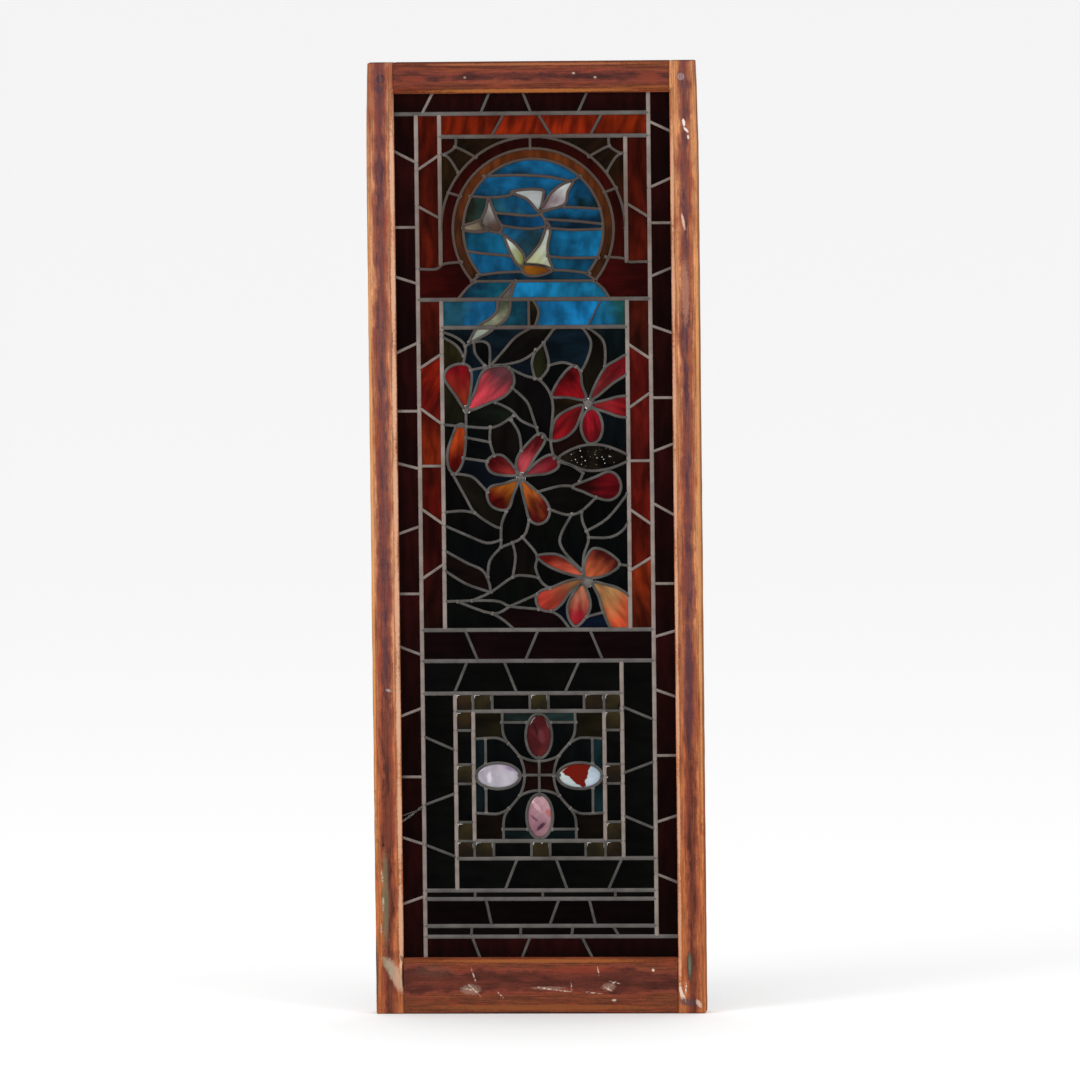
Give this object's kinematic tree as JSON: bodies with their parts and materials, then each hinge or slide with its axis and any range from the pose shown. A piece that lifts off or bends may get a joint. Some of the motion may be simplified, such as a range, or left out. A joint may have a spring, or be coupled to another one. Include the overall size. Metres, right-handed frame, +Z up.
{
  "type": "stained glass window",
  "caption": "Tall leaded stained glass window in a pegged wooden sash, with birds under an arch, a flower panel and a quatrefoil in jewelled borders.",
  "frame": {"origin": "middle of the bottom rail's underside, where the sash sits on its sill", "axes": "+Z up, +X to the right as seen from the front, -Y out of the front face"},
  "size_m": [0.463, 0.035, 1.332],
  "materials": {
    "varnished_wood": "worn and stained red-brown varnish",
    "peg_wood": "dark end grain",
    "lead": "dull grey-brown oxidised lead with paler solder",
    "glass_ruby": "dark ruby sheet glass, smooth",
    "glass_amber": "streaky amber and orange sheet glass",
    "glass_deep_red": "deep red streaky sheet glass",
    "glass_brown": "olive and brown sheet glass",
    "glass_sky": "streaky blue sheet glass with pale wisps",
    "glass_white": "milky opalescent white glass",
    "glass_leaf": "dark green, blue and brown streaky glass",
    "glass_rose": "red to pink streaky glass",
    "glass_orange": "orange to salmon streaky glass",
    "glass_scarlet": "scarlet and crimson streaky glass",
    "glass_pebbled": "dark glass with a pebbled face",
    "glass_bottle_green": "near-black green sheet glass",
    "glass_jewel": "pressed olive and brown squares with a hammered face"
  },
  "bodies": {
    "root": {"stile_left": "varnished_wood", "stile_right": "varnished_wood", "rail_bottom": "varnished_wood", "rail_top": "varnished_wood", "bead_left": "varnished_wood", "bead_right": "varnished_wood", "bead_bottom": "varnished_wood", "bead_top": "varnished_wood", "peg_left": "peg_wood", "peg_right": "peg_wood", "lead_came": "lead", "glass_border_top": "glass_ruby", "glass_border_left": "glass_ruby", "glass_border_right": "glass_ruby", "glass_border_bottom": "glass_ruby", "glass_amber_top": "glass_amber", "glass_amber_upper_left": "glass_amber", "glass_amber_upper_right": "glass_amber", "glass_amber_lower_left": "glass_amber", "glass_amber_lower_right": "glass_amber", "glass_spandrel_left": "glass_brown", "glass_spandrel_right": "glass_brown", "glass_arch_outer_ring": "glass_deep_red", "glass_arch_inner_ring": "glass_brown", "glass_sky": "glass_sky", "glass_bird_high": "glass_white", "glass_bird_left": "glass_white", "glass_bird_low": "glass_white", "glass_shoulder_left": "glass_deep_red", "glass_shoulder_right": "glass_deep_red", "glass_sky_foot": "glass_sky", "glass_water_band": "glass_sky", "glass_flower_ground": "glass_leaf", "glass_flower_pink": "glass_rose", "glass_flower_orange_bell": "glass_orange", "glass_flower_red": "glass_scarlet", "glass_flower_middle": "glass_scarlet", "glass_flower_low": "glass_orange", "glass_bud": "glass_scarlet", "glass_leaf_pebbled": "glass_pebbled", "glass_strip_upper": "glass_deep_red", "glass_green_top": "glass_bottle_green", "glass_green_left": "glass_bottle_green", "glass_green_right": "glass_bottle_green", "glass_green_bottom": "glass_bottle_green", "glass_jewel_ring": "glass_jewel", "glass_quatrefoil": "glass_leaf", "glass_oval_top": "glass_rose", "glass_oval_left": "glass_white", "glass_oval_right": "glass_white", "glass_oval_bottom": "glass_white", "glass_thin_upper": "glass_bottle_green", "glass_strip_lower": "glass_deep_red", "glass_thin_lower": "glass_bottle_green"}
  },
  "joints": []
}
